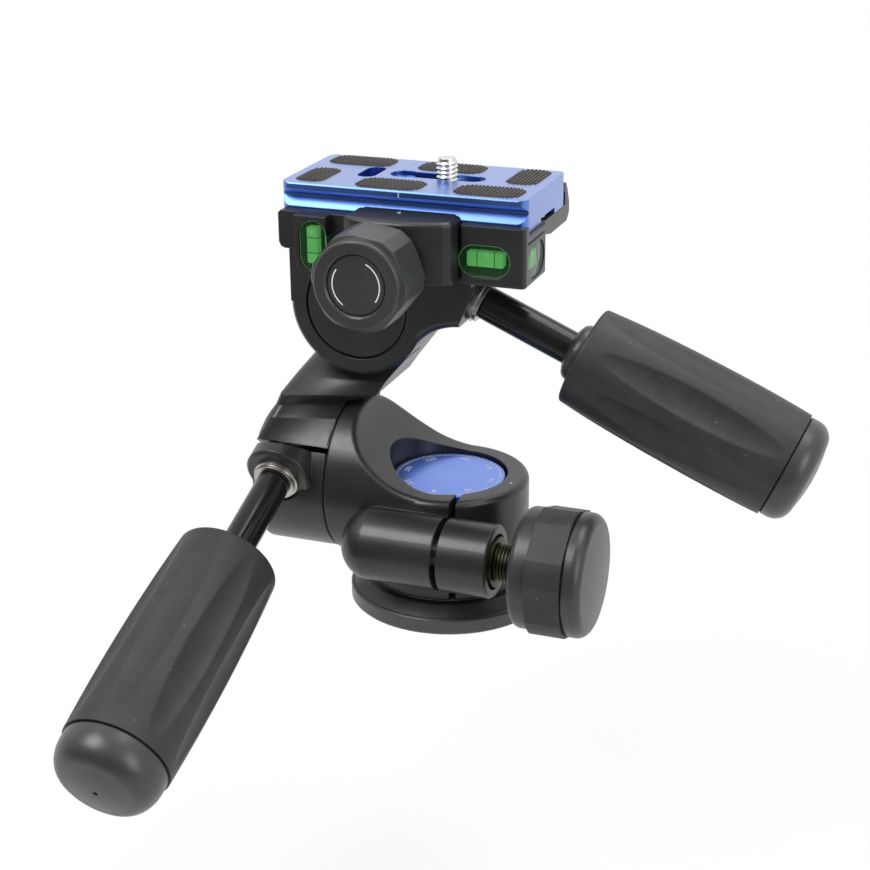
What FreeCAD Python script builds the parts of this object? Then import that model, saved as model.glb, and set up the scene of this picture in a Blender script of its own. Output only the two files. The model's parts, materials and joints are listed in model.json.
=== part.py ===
import FreeCAD
import Part
import math
import os

# Three way pan and tilt head, millimetres.
# Origin: middle of the base's underside, on the pan axis. +Z is up, +X runs along the
# plate, -Y faces the front where the jaw knob is.

# Main axes
tiltAxisZ = 36.0
sideAxisX = -25.0
sideAxisZ = 92.0
handleSlope = math.radians(23.5)
tiltHandleYaw = math.radians(1.8)

# Base and pan
flangeR = 30.3
flangeRim = 5.0
flangeTop = 8.0
spindleR = 13.3
bushR = 15.3
runGap = 0.04
collarR = 24.2
collarBottom = 8.35
collarTop = 39.8
ledgeZ = 35.0
rimR = 2.0
pocketR = 17.8
dialR = 17.1
dialTop = 38.8
tripodThreadR = 3.97
tripodThreadDepth = 13.0

# Pan clamp
barrelR = 10.8
barrelY = -28.5
barrelZ = 26.3
barrelLeft = -22.3
barrelRight = 24.8
slitX = 9.0
slitWidth = 1.9
studR = 4.0
threadGap = 0.05

# Front tilt joint
hubR = 24.0
jointX = -31.2
ringR = 23.5
ringRight = -31.45
ringLeft = -55.0
tiltAxleR = 7.5
tiltBushR = 8.8
tiltHandleX = -45.0
tiltHandleOffset = 14.75
tiltBossR = 10.2
tiltBossEnd = 20.5
splitAngle = math.radians(145.0)
splitWidth = 1.6

# Side tilt joint
cRingR = 20.8
cRingFront = -10.0
cRingBack = 12.0
sideAxleR = 9.0
sideBushR = 10.5
sideDiscR = 15.4
upperHubR = 20.5
upperHubFront = 12.6
upperHubBack = 30.0
sideHandleOffset = 16.74
cotterR = 7.9
lugEnd = 30.0

# Platform
deckTop = 118.9
deckUnder = 113.4
deckLeft = -45.0
deckRight = 29.0
frontFaceY = -13.9
plateY = 5.0
plateHalf = 19.0
plateX = -9.0
plateLength = 74.0
plateBottom = 119.0
plateTop = 128.7
cameraThreadR = 3.175
jawKnobX = -9.7
jawKnobZ = 110.0
jawTop = 123.2
jawPlateFront = -14.3
blockTop = 121.5
blockBottom = 104.5
guidePinXs = (-19.0, 6.0)
guidePinZ = 115.5
guidePinR = 1.6
dovetailNeck = 2.6
slotOffsetY = 1.3
stopScrewX = 33.2
jawKnobFlatR = 13.1
jawKnobCornerR = 14.0

# Pads on the plate: centre x, centre y from the plate's middle, length, width, long direction
padSpecs = [
    (-29.8, -7.7, 16.6, 9.4, "y"),
    (-5.5, -12.0, 20.2, 11.6, "x"),
    (23.8, -11.3, 20.2, 11.6, "x"),
    (-24.0, 12.6, 20.4, 11.0, "x"),
    (4.3, 12.4, 20.4, 11.0, "x"),
    (29.0, 8.4, 18.6, 9.8, "y"),
]
padDepth = 0.7
padStand = 0.35

# Handles
washerR = 7.0
washerThick = 2.5
rodR = 5.0
gripStart = 31.6
gripBoreR = 10.6
tiltGripLength = 74.0
sideGripLength = 65.0
capLength = 9.2
fluteCount = 8
fluteR = 21.0
fluteFloorR = 14.75
fluteMiddle = 0.45
fluteRises = (0.3, 0.95)

X = FreeCAD.Vector(1, 0, 0)
Y = FreeCAD.Vector(0, 1, 0)
Z = FreeCAD.Vector(0, 0, 1)


def vec(x, y, z):
    return FreeCAD.Vector(x, y, z)


def cyl(radius, start, end):
    axis = end - start
    return Part.makeCylinder(radius, axis.Length, start, axis)


def tube(outer, inner, start, end):
    return cyl(outer, start, end).cut(cyl(inner, start, end))


def box(x0, x1, y0, y1, z0, z1):
    return Part.makeBox(x1 - x0, y1 - y0, z1 - z0, vec(x0, y0, z0))


def prism(points, direction):
    wire = Part.makePolygon(points + [points[0]])
    return Part.Face(wire).extrude(direction)


def lathe(outline, origin, axis):
    """A turned piece. Outline steps are (radius, distance along the axis); a step of four
    numbers is an arc, given by its middle point and its end point."""
    side = axis.cross(vec(0.31, 0.57, 0.76))
    side.normalize()

    def at(radius, distance):
        return origin + side * radius + axis * distance

    first = at(*outline[0])
    here = first
    edges = []
    for step in outline[1:]:
        there = at(*step[-2:])
        if len(step) == 4:
            edges.append(Part.Arc(here, at(*step[:2]), there).toShape())
        else:
            edges.append(Part.makeLine(here, there))
        here = there
    edges.append(Part.makeLine(here, first))
    return Part.Face(Part.Wire(edges)).revolve(origin, axis, 360)


def rounded(start, corner, end):
    """The arc step of an outline that rounds a corner off between start and end."""
    share = 1 - math.sqrt(0.5)
    middle = []
    for i in range(2):
        opposite = start[i] + end[i] - corner[i]
        middle.append(corner[i] + (opposite - corner[i]) * share)
    return (middle[0], middle[1], end[0], end[1])


def fuse(shapes):
    return shapes[0].multiFuse(shapes[1:]).removeSplitter()


def obround(length, width, height, centre, along, up):
    """A slot-shaped block; along is its long direction and up its height direction."""
    half = (length - width) / 2
    across = up.cross(along)
    block = prism(
        [
            centre + along * half + across * (width / 2),
            centre - along * half + across * (width / 2),
            centre - along * half - across * (width / 2),
            centre + along * half - across * (width / 2),
        ],
        up * height,
    )
    ends = [
        Part.makeCylinder(width / 2, height, centre + along * half, up),
        Part.makeCylinder(width / 2, height, centre - along * half, up),
    ]
    return fuse([block] + ends)


def export(name, shape):
    os.makedirs("parts", exist_ok=True)
    shape.exportStep("parts/" + name + ".step")


# Directions and foot points of the two handle axes
tiltDir = vec(
    -math.sin(tiltHandleYaw) * math.cos(handleSlope),
    -math.cos(tiltHandleYaw) * math.cos(handleSlope),
    -math.sin(handleSlope),
)
tiltNormal = vec(0, -math.sin(handleSlope), math.cos(handleSlope))
tiltFoot = vec(tiltHandleX, 0, tiltAxisZ) + tiltNormal * tiltHandleOffset
sideDir = vec(math.cos(handleSlope), 0, -math.sin(handleSlope))
sideNormal = vec(math.sin(handleSlope), 0, math.cos(handleSlope))
sideFoot = vec(sideAxisX, 0, sideAxisZ) + sideNormal * sideHandleOffset


def makeBase():
    profile = [
        (7.0, 1.2), (12.5, 1.2), (12.5, 0.0), (14.5, 0.0), (14.5, 1.4), (23.5, 1.4),
        (24.5, 0.0), (flangeR - 0.6, 0.0), (flangeR, 0.6), (flangeR, flangeRim - 0.5),
        (flangeR - 0.5, flangeRim), (29.4, flangeRim), (26.0, flangeTop), (7.0, flangeTop),
    ]
    flange = lathe(profile, vec(0, 0, 0), Z)
    export("base_flange", flange)

    insert = lathe(
        [(tripodThreadR, 0), (8.5, 0), (8.5, 1.2), (7.0, 1.2), (7.0, tripodThreadDepth),
         (tripodThreadR, tripodThreadDepth)],
        vec(0, 0, 0), Z,
    )
    export("thread_insert", insert)

    spindle = tube(spindleR, 7.0, vec(0, 0, flangeTop), vec(0, 0, ledgeZ + 0.1))
    for i in range(3):
        a = math.radians(30 + 120 * i)
        p = vec(10.0 * math.cos(a), 10.0 * math.sin(a), ledgeZ - 8)
        spindle = spindle.cut(cyl(1.25, p, p + Z * 10))
    export("pan_spindle", spindle)

    washer = tube(23.5, spindleR + 0.3, vec(0, 0, flangeTop), vec(0, 0, collarBottom - 0.05))
    export("thrust_washer", washer)

    top = ledgeZ + 1.7
    retainer = cyl(17.2, vec(0, 0, ledgeZ + 0.1), vec(0, 0, top))
    screws = []
    for i in range(3):
        a = math.radians(30 + 120 * i)
        p = vec(10.0 * math.cos(a), 10.0 * math.sin(a), 0)
        screw = lathe(
            [(0, ledgeZ - 7), (1.25, ledgeZ - 7), (1.25, top - 1.3), (2.5, top), (0, top)], p, Z
        )
        retainer = retainer.cut(screw)
        screws.append(screw)
    export("pan_retainer", retainer)
    export("retainer_screws", Part.Compound(screws))

    dial = lathe(
        [(0, top), (dialR, top), (dialR, dialTop - 0.3), (dialR - 0.3, dialTop), (0, dialTop)],
        vec(0, 0, 0), Z,
    )
    export("pan_dial", dial)


def swooshCut():
    """The space above the curved top that falls from the tilt hub to the collar."""
    spline = [
        (-25.6, 60.0), (-24.2, 55.0), (-20.4, 49.5), (-16.0, 45.7), (-11.5, 42.9),
        (-5.0, 40.6), (0.5, collarTop),
    ]
    points = [vec(x, -40, z) for x, z in spline]
    curve = Part.BSplineCurve()
    curve.interpolate(points)
    corners = [points[-1], vec(45, -40, collarTop), vec(45, -40, 75), vec(-25.6, -40, 75), points[0]]
    wire = Part.Wire([curve.toShape()] + Part.makePolygon(corners).Edges)
    return Part.Face(wire).extrude(Y * 80)


def slitCut():
    return box(slitX - slitWidth / 2, slitX + slitWidth / 2, -60, -12, 0, 60)


def makePanHousing():
    collar = lathe(
        [(0, collarBottom), (collarR - 0.5, collarBottom), (collarR, collarBottom + 0.5),
         (collarR, collarTop - rimR),
         rounded((collarR, collarTop - rimR), (collarR, collarTop), (collarR - rimR, collarTop)),
         (0, collarTop)],
        vec(0, 0, 0), Z,
    )
    hub = lathe(
        [(0, 0), (hubR - 0.5, 0), (hubR, 0.5), (hubR, -jointX), (0, -jointX)],
        vec(jointX, 0, tiltAxisZ), X,
    ).cut(box(-40, 5, -30, 30, 0, collarBottom + 3.0))
    hub = hub.cut(swooshCut())
    rims = []
    for edge in hub.Edges:
        span = edge.BoundBox
        if span.ZMin > collarTop - 0.1 and span.XMax > -25 and min(span.XLength, span.YLength) > 0.5:
            rims.append(edge)
    hub = hub.makeFillet(rimR - 0.2, rims)
    barrel = lathe(
        [(0, 0), rounded((0, 0), (barrelR, 0), (barrelR, 8.5)),
         (barrelR, barrelRight - barrelLeft - 0.6), (barrelR - 0.6, barrelRight - barrelLeft),
         (0, barrelRight - barrelLeft)],
        vec(barrelLeft, barrelY, barrelZ), X,
    )
    web = prism(
        [vec(-17.0, barrelY, barrelZ - 9.0), vec(19.0, barrelY, barrelZ - 9.0),
         vec(12.5, -18.0, barrelZ - 9.0), vec(12.5, -10.0, barrelZ - 9.0), vec(-17.0, -10.0, barrelZ - 9.0)],
        Z * 16.2,
    )
    body = fuse([collar, hub, barrel, web])
    body = body.cut(cyl(bushR, vec(0, 0, 0), vec(0, 0, ledgeZ + 1)))
    body = body.cut(cyl(pocketR, vec(0, 0, ledgeZ), vec(0, 0, 80)))
    body = body.cut(slitCut())
    # Clamp stud hole, insert seat and the washer recess in the barrel's right end
    stud = vec(0, barrelY, barrelZ)
    body = body.cut(cyl(6.0, stud + X * -14.0, stud + X * -2.0))
    body = body.cut(cyl(4.4, stud + X * -16.0, stud + X * 30.0))
    body = body.cut(cyl(8.2, stud + X * (barrelRight - 2.2), stud + X * 30.0))
    # Tilt axle seat
    axis = vec(0, 0, tiltAxisZ)
    body = body.cut(cyl(tiltAxleR, axis + X * -40, axis + X * -20.0))
    export("pan_casting", body.removeSplitter())

    bush = tube(bushR, spindleR + runGap, vec(0, 0, collarBottom), vec(0, 0, ledgeZ))
    export("pan_bush", bush.cut(slitCut()))

    insert = tube(6.0, studR, stud + X * -14.0, stud + X * -2.0)
    export("pan_clamp_insert", insert)
    rod = lathe([(0, -14.0), (studR, -14.0), (studR, 45.4), (studR - 0.6, 46.0), (0, 46.0)], stud, X)
    export("pan_stud", rod)

    start = ringLeft + 2.3
    axle = lathe(
        [(0, 0), (tiltAxleR, 0), (tiltAxleR, -20.0 - start), (0, -20.0 - start)],
        axis + X * start, X,
    )
    bolt = lathe([(0, -0.4), (2.5, -0.4), (2.5, 14.0), (0, 14.0)], axis + X * start, X)
    export("tilt_axle", axle.cut(bolt))
    cover = lathe(
        [(0, 0.3), (14.9, 0.3), (15.4, 0.8), (15.4, 2.2), (8.0, 2.2), (8.0, 1.9), (4.8, 1.9),
         (4.8, 2.2), (0, 2.2)],
        axis + X * ringLeft, X,
    )
    cover = cover.cut(lathe([(0, -0.1), (5.4, -0.1), (2.6, 2.4), (0, 2.4)], axis + X * ringLeft, X))
    export("tilt_axle_cover", cover)
    screw = lathe(
        [(0, 0.6), (4.5, 0.6), (2.5, 2.3), (2.5, 15.0), (0, 15.0)], axis + X * ringLeft, X
    )
    screw = screw.cut(hexKey(3.0, axis + X * ringLeft, X, 2.6))
    export("tilt_axle_screw", screw)


def hexKey(across, origin, axis, depth):
    """A hexagonal key socket."""
    side = axis.cross(vec(0.31, 0.57, 0.76))
    side.normalize()
    other = axis.cross(side)
    r = across / 2 / math.cos(math.pi / 6)
    points = []
    for i in range(6):
        a = math.pi / 3 * i
        points.append(origin + side * (r * math.cos(a)) + other * (r * math.sin(a)))
    return prism(points, axis * depth)


def makePanKnob():
    stud = vec(0, barrelY, barrelZ)
    washers = [
        tube(7.4, studR + 0.4, stud + X * (barrelRight - 2.15), stud + X * (barrelRight + 0.6)),
        tube(5.6, studR + 0.4, stud + X * (barrelRight + 0.6), stud + X * (barrelRight + 5.6)),
        tube(7.0, studR + 0.4, stud + X * (barrelRight + 5.6), stud + X * 32.75),
    ]
    export("pan_clamp_washers", Part.Compound(washers))
    core = lathe(
        [(6.5, 32.8), (15.2, 32.8), rounded((15.2, 32.8), (17.6, 32.8), (17.6, 35.2)),
         (17.6, 38.5), (15.5, 38.5), (15.5, 48.8), (6.5, 48.8)],
        stud, X,
    )
    export("pan_knob_core", core)
    insert = tube(6.5, studR + threadGap, stud + X * 32.8, stud + X * 47.0)
    export("pan_knob_insert", insert)
    ring = tube(18.9, 15.5, stud + X * 38.55, stud + X * 48.8)
    for i in range(6):
        a = math.radians(50 + 60 * i)
        out = vec(0, -math.cos(a), math.sin(a))
        across = X.cross(out)
        p = stud + X * 30 + out * 17.95
        cutter = prism(
            [p - across * 15, p + across * 15, p + across * 15 + out * 8, p - across * 15 + out * 8],
            X * 30,
        )
        ring = ring.cut(cutter)
    export("pan_knob_ring", ring)
    cap = lathe(
        [(0, 48.85), (17.5, 48.85), (17.9, 49.3), (17.9, 51.4),
         rounded((17.9, 51.4), (17.9, 54.3), (14.4, 54.3)), (7.6, 54.88, 0.6, 55.1), (0, 55.1)],
        stud, X,
    )
    export("pan_knob_cap", cap)


def splitCut():
    """The radial slit that lets the tilt ring close on its axle."""
    out = vec(0, math.cos(splitAngle), math.sin(splitAngle))
    across = X.cross(out)
    p = vec(ringLeft - 1, 0, tiltAxisZ) + across * (splitWidth / 2)
    q = vec(ringLeft - 1, 0, tiltAxisZ) - across * (splitWidth / 2)
    return prism([p, p + out * 40, q + out * 40, q], X * (ringRight - ringLeft + 30))


def roundedOutline(corners, radii, z):
    """A closed flat outline at height z; each (x, y) corner is rounded by its radius."""
    edges = []
    count = len(corners)
    tangents = []
    for i in range(count):
        here = vec(corners[i][0], corners[i][1], z)
        before = vec(corners[i - 1][0], corners[i - 1][1], z) - here
        after = vec(corners[(i + 1) % count][0], corners[(i + 1) % count][1], z) - here
        before.normalize()
        after.normalize()
        half = before.getAngle(after) / 2
        middle = before + after
        middle.normalize()
        reach = radii[i] / math.tan(half)
        arcMid = here + middle * (radii[i] / math.sin(half) - radii[i])
        tangents.append((here + before * reach, arcMid, here + after * reach))
    for i in range(count):
        start, mid, end = tangents[i]
        edges.append(Part.Arc(start, mid, end).toShape())
        edges.append(Part.makeLine(end, tangents[(i + 1) % count][0]))
    return Part.Wire(edges)


def armSection(z, left, frontLeft, right, frontRight, rear, frontRadius, rearRadius):
    """One level of the arm: its front face slants back towards the right."""
    corners = [(left, frontLeft), (right, frontRight), (right, rear), (left, rear)]
    return roundedOutline(corners, [frontRadius, 0.5, rearRadius, rearRadius], z)


def makeTiltArm():
    axis = vec(0, 0, tiltAxisZ)
    ring = lathe(
        [(0, 0), (ringR - 1.2, 0), (ringR, 1.2), (ringR, ringRight - ringLeft - 0.5),
         (ringR - 0.5, ringRight - ringLeft), (0, ringRight - ringLeft)],
        axis + X * ringLeft, X,
    )
    lower = Part.makeLoft(
        [
            armSection(42.0, -55.0, -19.5, -30.0, -19.5, 20.0, 1.5, 2.0),
            armSection(50.0, -54.9, -20.0, -29.6, -18.8, 21.5, 1.8, 2.5),
            armSection(57.0, -52.0, -17.4, -30.0, -11.4, 24.5, 2.2, 3.0),
            armSection(60.2, -50.7, -16.1, -29.5, -4.0, 25.5, 2.4, 3.5),
            armSection(63.5, -49.4, -14.8, -21.2, -5.4, 26.5, 2.6, 4.0),
        ],
        True, True,
    )
    neck = Part.makeLoft(
        [
            armSection(63.5, -49.4, -14.8, -21.2, -5.4, 26.5, 2.6, 4.0),
            armSection(67.5, -47.4, -8.0, -18.6, -4.4, 27.5, 4.0, 4.0),
            armSection(72.0, -44.6, -0.5, -15.2, -1.0, 28.6, 5.0, 4.5),
            armSection(79.0, -43.6, 9.0, -10.0, 9.0, 29.6, 5.0, 5.0),
            armSection(86.0, -44.2, 12.6, -5.6, 12.6, 30.0, 5.0, 6.0),
        ],
        True, True,
    )
    hubDepth = upperHubBack - upperHubFront
    hub = lathe(
        [(0, 0), (upperHubR, 0), (upperHubR, hubDepth - 2.0),
         rounded((upperHubR, hubDepth - 2.0), (upperHubR, hubDepth), (upperHubR - 2.0, hubDepth)),
         (0, hubDepth)],
        vec(sideAxisX, upperHubFront, sideAxisZ), Y,
    )
    taper = prism(
        [vec(-60, -40, 51.5), vec(-55.0, -40, 51.5), vec(-52.2, -40, 60.5), vec(-60, -40, 60.5)],
        Y * 80,
    )
    body = fuse([ring.cut(taper), lower, neck, hub])
    # Room for the pan hub beside the ring, and for the platform's ring in front of the hub
    body = body.cut(cyl(hubR + 0.7, axis + X * ringRight, axis + X * 20))
    body = body.cut(box(ringRight, 20, -60, 60, 0, tiltAxisZ + hubR + 0.2))
    front = vec(sideAxisX, -60, sideAxisZ)
    body = body.cut(cyl(cRingR + 0.6, front, vec(sideAxisX, upperHubFront, sideAxisZ)))
    body = body.cut(box(-60, -34, -60, upperHubFront, 73.0, 100))
    # Ear and boss of the handle below the slit
    boss = lathe(
        [(0, 4.0), (tiltBossR, 4.0), (tiltBossR, tiltBossEnd - 0.8),
         (tiltBossR - 0.8, tiltBossEnd), (0, tiltBossEnd)],
        tiltFoot, tiltDir,
    )
    out = vec(0, math.cos(splitAngle), math.sin(splitAngle))
    across = X.cross(out)
    keep = prism(
        [
            vec(-70, 0, tiltAxisZ) - out * 5,
            vec(-70, 0, tiltAxisZ) + out * 50,
            vec(-70, 0, tiltAxisZ) + out * 50 + across * 50,
            vec(-70, 0, tiltAxisZ) - out * 5 + across * 50,
        ],
        X * 60,
    )
    body = fuse([body, boss.common(keep)])
    body = body.cut(splitCut())
    body = body.cut(cyl(tiltBushR, axis + X * (ringLeft - 2), axis + X * 0))
    body = body.cut(cyl(15.9, axis + X * (ringLeft - 2), axis + X * (ringLeft + 2.3)))
    body = body.cut(cyl(4.3, tiltFoot + tiltDir * 9.1, tiltFoot + tiltDir * 40))
    body = body.cut(cyl(7.9, tiltFoot + tiltDir * tiltBossEnd, tiltFoot + tiltDir * 40))
    body = body.cut(cyl(studR + threadGap, tiltFoot + tiltDir * -9, tiltFoot + tiltDir * 10))
    # Seat of the side axle
    hubCentre = vec(sideAxisX, 0, sideAxisZ)
    body = body.cut(cyl(sideAxleR, hubCentre, hubCentre + Y * (upperHubBack - 4.0)))
    body = body.cut(cyl(3.2, hubCentre, hubCentre + Y * 40))
    body = body.cut(cyl(11.0, hubCentre + Y * (upperHubBack - 1.6), hubCentre + Y * 40))
    export("tilt_arm_casting", body.removeSplitter())

    bush = tube(tiltBushR, tiltAxleR + runGap, axis + X * (ringLeft + 2.3), axis + X * ringRight)
    export("tilt_bush", bush.cut(splitCut()))

    start = cRingFront + 1.3
    axle = lathe(
        [(0, 0), (sideAxleR, 0), (sideAxleR, upperHubBack - 4.0 - start),
         (0, upperHubBack - 4.0 - start)],
        hubCentre + Y * start, Y,
    )
    axle = axle.cut(cyl(3.0, hubCentre + Y * 8.0, hubCentre + Y * 30))
    export("side_axle", axle)
    disc = lathe(
        [(0, 0), (sideDiscR - 0.4, 0), (sideDiscR, 0.4), (sideDiscR, 1.3), (0, 1.3)],
        hubCentre + Y * cRingFront, Y,
    )
    export("side_axle_disc", disc)
    washer = tube(
        18.0, sideAxleR + 0.2, hubCentre + Y * (cRingBack + 0.05), hubCentre + Y * upperHubFront
    )
    export("side_thrust_washer", washer)
    back = hubCentre + Y * (upperHubBack - 1.6)
    flat = tube(9.6, 3.1, back, back + Y * 1.4)
    export("side_axle_washer", flat)
    bolt = lathe(
        [(0, -16.0), (3.0, -16.0), (3.0, 1.4), (5.0, 1.4), (5.0, 6.0), (4.6, 6.4), (0, 6.4)],
        back, Y,
    )
    bolt = bolt.cut(hexKey(5.0, back + Y * 3.2, Y, 4.0))
    export("side_axle_bolt", bolt)


def makeHandle(name, foot, direction, seat, reach, gripLength):
    """One handle on the axis from foot along direction; seat is where its washer sits."""
    washer = lathe(
        [(studR + 0.15, 0), (washerR, 0), (washerR, washerThick - 1.3),
         (washerR - 0.6, washerThick - 1.2), (washerR - 0.6, washerThick), (studR + 0.15, washerThick)],
        foot + direction * (seat + 0.02), direction,
    )
    export(name + "_washer", washer)
    origin = foot + direction * (seat + washerThick + 0.04)
    stud = lathe(
        [(0, -reach), (studR - 0.6, -reach), (studR, -reach + 0.6), (studR, 12.0), (0, 12.0)],
        origin, direction,
    )
    export(name + "_stud", stud)
    rodEnd = gripStart + 46.0
    rod = lathe(
        [(studR, 0), (rodR - 0.4, 0), (rodR, 0.4), (rodR, rodEnd), (0, rodEnd), (0, 12.0),
         (studR, 12.0)],
        origin, direction,
    )
    export(name + "_rod", rod)
    gripEnd = gripStart + gripLength
    collarStart = gripStart - 3.6
    core = lathe(
        [(rodR, collarStart), (6.6, collarStart),
         rounded((6.6, collarStart), (10.5, collarStart), (10.5, gripStart - 0.4)),
         (gripBoreR, gripStart + 0.4), (gripBoreR, gripEnd - 0.1), (0, gripEnd - 0.1), (0, rodEnd),
         (rodR, rodEnd)],
        origin, direction,
    )
    export(name + "_core", core)
    export(name + "_grip", makeGrip(origin, direction, gripStart, gripEnd))
    tip = gripEnd + capLength
    cap = lathe(
        [(0, gripEnd + 0.03), (15.3, gripEnd + 0.03), (15.75, gripEnd + 0.5), (15.75, gripEnd + 2.4),
         rounded((15.75, gripEnd + 2.4), (15.75, tip - 1.3), (10.0, tip - 1.3)),
         (5.2, tip - 0.3, 0.9, tip), (0.7, tip - 0.8), (0, tip - 0.8)],
        origin, direction,
    )
    export(name + "_cap", cap)


def makeGrip(origin, direction, start, end):
    """Barrel-shaped rubber sleeve with lens-shaped flutes."""
    length = end - start
    side = direction.cross(X if abs(direction.x) < 0.5 else Y)
    side.normalize()
    other = direction.cross(side)
    def at(r, t):
        return origin + side * r + direction * (start + t)

    barrel = Part.Arc(at(14.9, 1.6), at(16.35, length * 0.56), at(15.45, length)).toShape()
    shoulder = Part.Arc(at(13.0, 0), at(14.45, 0.5), at(14.9, 1.6)).toShape()
    rest = Part.makePolygon([at(15.45, length), at(gripBoreR, length), at(gripBoreR, 0), at(13.0, 0)])
    sleeve = Part.Face(Part.Wire([shoulder, barrel] + rest.Edges)).revolve(origin, direction, 360)
    # Each flute is cut by a slim spindle, so that it fades out before both ends
    for i in range(fluteCount):
        a = 2 * math.pi * (i + 0.5) / fluteCount
        out = side * math.cos(a) + other * math.sin(a)
        cutter = lathe(
            [(0, 0), (fluteR - fluteRises[0], 0),
             (fluteR, length * fluteMiddle, fluteR - fluteRises[1], length), (0, length)],
            origin + direction * start + out * (fluteFloorR + fluteR), direction,
        )
        sleeve = sleeve.cut(cutter)
    return sleeve


def makePlatform():
    centre = vec(sideAxisX, 0, sideAxisZ)
    ring = lathe(
        [(0, 0), (cRingR - 1.0, 0), (cRingR, 1.0), (cRingR, cRingBack - cRingFront - 0.5),
         (cRingR - 0.5, cRingBack - cRingFront), (0, cRingBack - cRingFront)],
        centre + Y * cRingFront, Y,
    )

    def along(t, n):
        p = centre + sideDir * t + sideNormal * n
        return vec(p.x, cRingFront, p.z)

    low = vec(-9.2, cRingFront, 78.4)
    end = along(lugEnd, 9.2)
    under = Part.BSplineCurve()
    under.interpolate([low, vec(-5.6, cRingFront, 83.2), vec(-1.8, cRingFront, 86.2),
                       vec(2.0, cRingFront, 87.8), end])
    corners = [end, along(lugEnd, 24.6), vec(13.5, cRingFront, 104.0), vec(-25, cRingFront, 104.0),
               vec(-25, cRingFront, 78.4), low]
    lug = Part.Face(Part.Wire([under.toShape()] + Part.makePolygon(corners).Edges)).extrude(
        Y * (cRingBack - cRingFront)
    )
    edges = []
    for edge in lug.Edges:
        span = edge.BoundBox
        if span.YLength < 1e-6 and span.ZMax < end.z + 0.1 and span.XMax > 0:
            edges.append(edge)
    lug = lug.makeFillet(2.6, edges)
    block = box(-38.0, 12.0, frontFaceY, cRingBack, 102.4, deckTop)
    cheek = box(sideAxisX - cRingR + 0.1, 2.0, cRingFront, cRingFront + 7.0, sideAxisZ, deckTop)
    seat = box(sideAxisX - cRingR + 2.6, 2.0, cRingFront + 1.6, cRingBack, 95.0, deckTop)
    deck = box(deckLeft, deckRight - 1.0, frontFaceY, 24.1, deckUnder + 1.6, deckTop)
    leftBlock = prism(
        [vec(deckLeft, -18.0, 120.7), vec(deckLeft, -18.0, 112.2), vec(deckLeft + 0.6, -18.0, 110.9),
         vec(deckLeft + 1.8, -18.0, 110.4), vec(-40.2, -18.0, 110.4), vec(-40.2, -18.0, blockTop),
         vec(deckLeft + 0.8, -18.0, blockTop)],
        Y * (frontFaceY + 18.0),
    )
    step = box(-29.0, -23.0, -18.0, frontFaceY, blockBottom, blockTop)
    vialLeft = fuse([
        box(-38.3, -28.5, -22.0, frontFaceY + 2, 108.6, blockTop),
        cyl(4.9, vec(-33.4, -22.0, 108.6), vec(-33.4, frontFaceY + 2, 108.6)),
        box(-40.4, -28.5, -18.0, frontFaceY, 110.4, blockTop),
    ])
    rightPlan = roundedOutline(
        [(10.0, -17.5), (deckRight, -17.5), (deckRight, 2.0), (10.0, 2.0)], [0.8, 1.6, 1.0, 0.5],
        blockBottom
    )
    rightBlock = Part.Face(rightPlan).extrude(Z * (blockTop - blockBottom))
    edges = []
    for edge in rightBlock.Edges:
        span = edge.BoundBox
        if span.ZMax < blockBottom + 0.1 and span.YMin < -15.0:
            edges.append(edge)
    rightBlock = rightBlock.makeFillet(0.7, edges)
    # Rear jaw with its hook, flaring up from the block
    rear = prism(
        [
            vec(deckLeft, 2.0, 115.2), vec(deckLeft, 10.0, 113.6), vec(deckLeft, 26.0, 113.6),
            vec(deckLeft, 28.3, 115.8), vec(deckLeft, 28.3, 118.6), vec(deckLeft, 26.4, 123.0),
            vec(deckLeft, 24.8, 125.2), vec(deckLeft, 24.4, 125.2), vec(deckLeft, 23.2, 124.2),
            vec(deckLeft, 22.95, 123.25), vec(deckLeft, 24.12, 122.08), vec(deckLeft, 24.12, deckTop),
            vec(deckLeft, 2.0, deckTop),
        ],
        X * (deckRight - 1.2 - deckLeft),
    )
    body = fuse([ring, lug, block, cheek, seat, deck, leftBlock, step, vialLeft, rightBlock])
    body = body.cut(box(-60, 60, plateY - plateHalf - 0.12, 60, deckTop, 130))
    body = fuse([body, rear])
    # Room for the arm's round hub behind the ring
    body = body.cut(cyl(upperHubR + 0.8, vec(sideAxisX, upperHubFront - 0.3, sideAxisZ),
                        vec(sideAxisX, 40, sideAxisZ)))
    # Axle bore and the front recess for the disc
    body = body.cut(cyl(sideBushR, centre + Y * -20, centre + Y * 20))
    body = body.cut(cyl(15.9, centre + Y * -20, centre + Y * (cRingFront + 1.4)))
    # Cotter bore and sleeve seat
    body = body.cut(cyl(cotterR + 0.05, sideFoot + sideDir * -7.0, sideFoot + sideDir * 3.4))
    body = body.cut(cyl(6.5, sideFoot + sideDir * 3.0, sideFoot + sideDir * 40))
    # Vial pockets
    body = body.cut(obround(15.0, 8.4, 14.5, vec(-32.7, -30, 112.8), Z, Y))
    body = body.cut(obround(15.5, 9.4, 19.0, vec(17.0, -30, 111.6), X, Y))
    body = body.cut(obround(14.6, 10.0, 10.05, vec(35.0, -7.0, 110.7), Y, X * -1))
    # Jaw screw and guide pin holes
    knob = vec(jawKnobX, 0, jawKnobZ)
    body = body.cut(cyl(3.0 + threadGap, knob + Y * -30, knob + Y * -6.4))
    for x in guidePinXs:
        body = body.cut(cyl(guidePinR + threadGap, vec(x, -30, guidePinZ), vec(x, -6.3, guidePinZ)))
    # Relief groove along the end face
    body = body.cut(box(deckRight - 0.5, deckRight + 1, -15.5, 6.0, 116.6, 117.3))
    export("platform_casting", body.removeSplitter())

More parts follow.
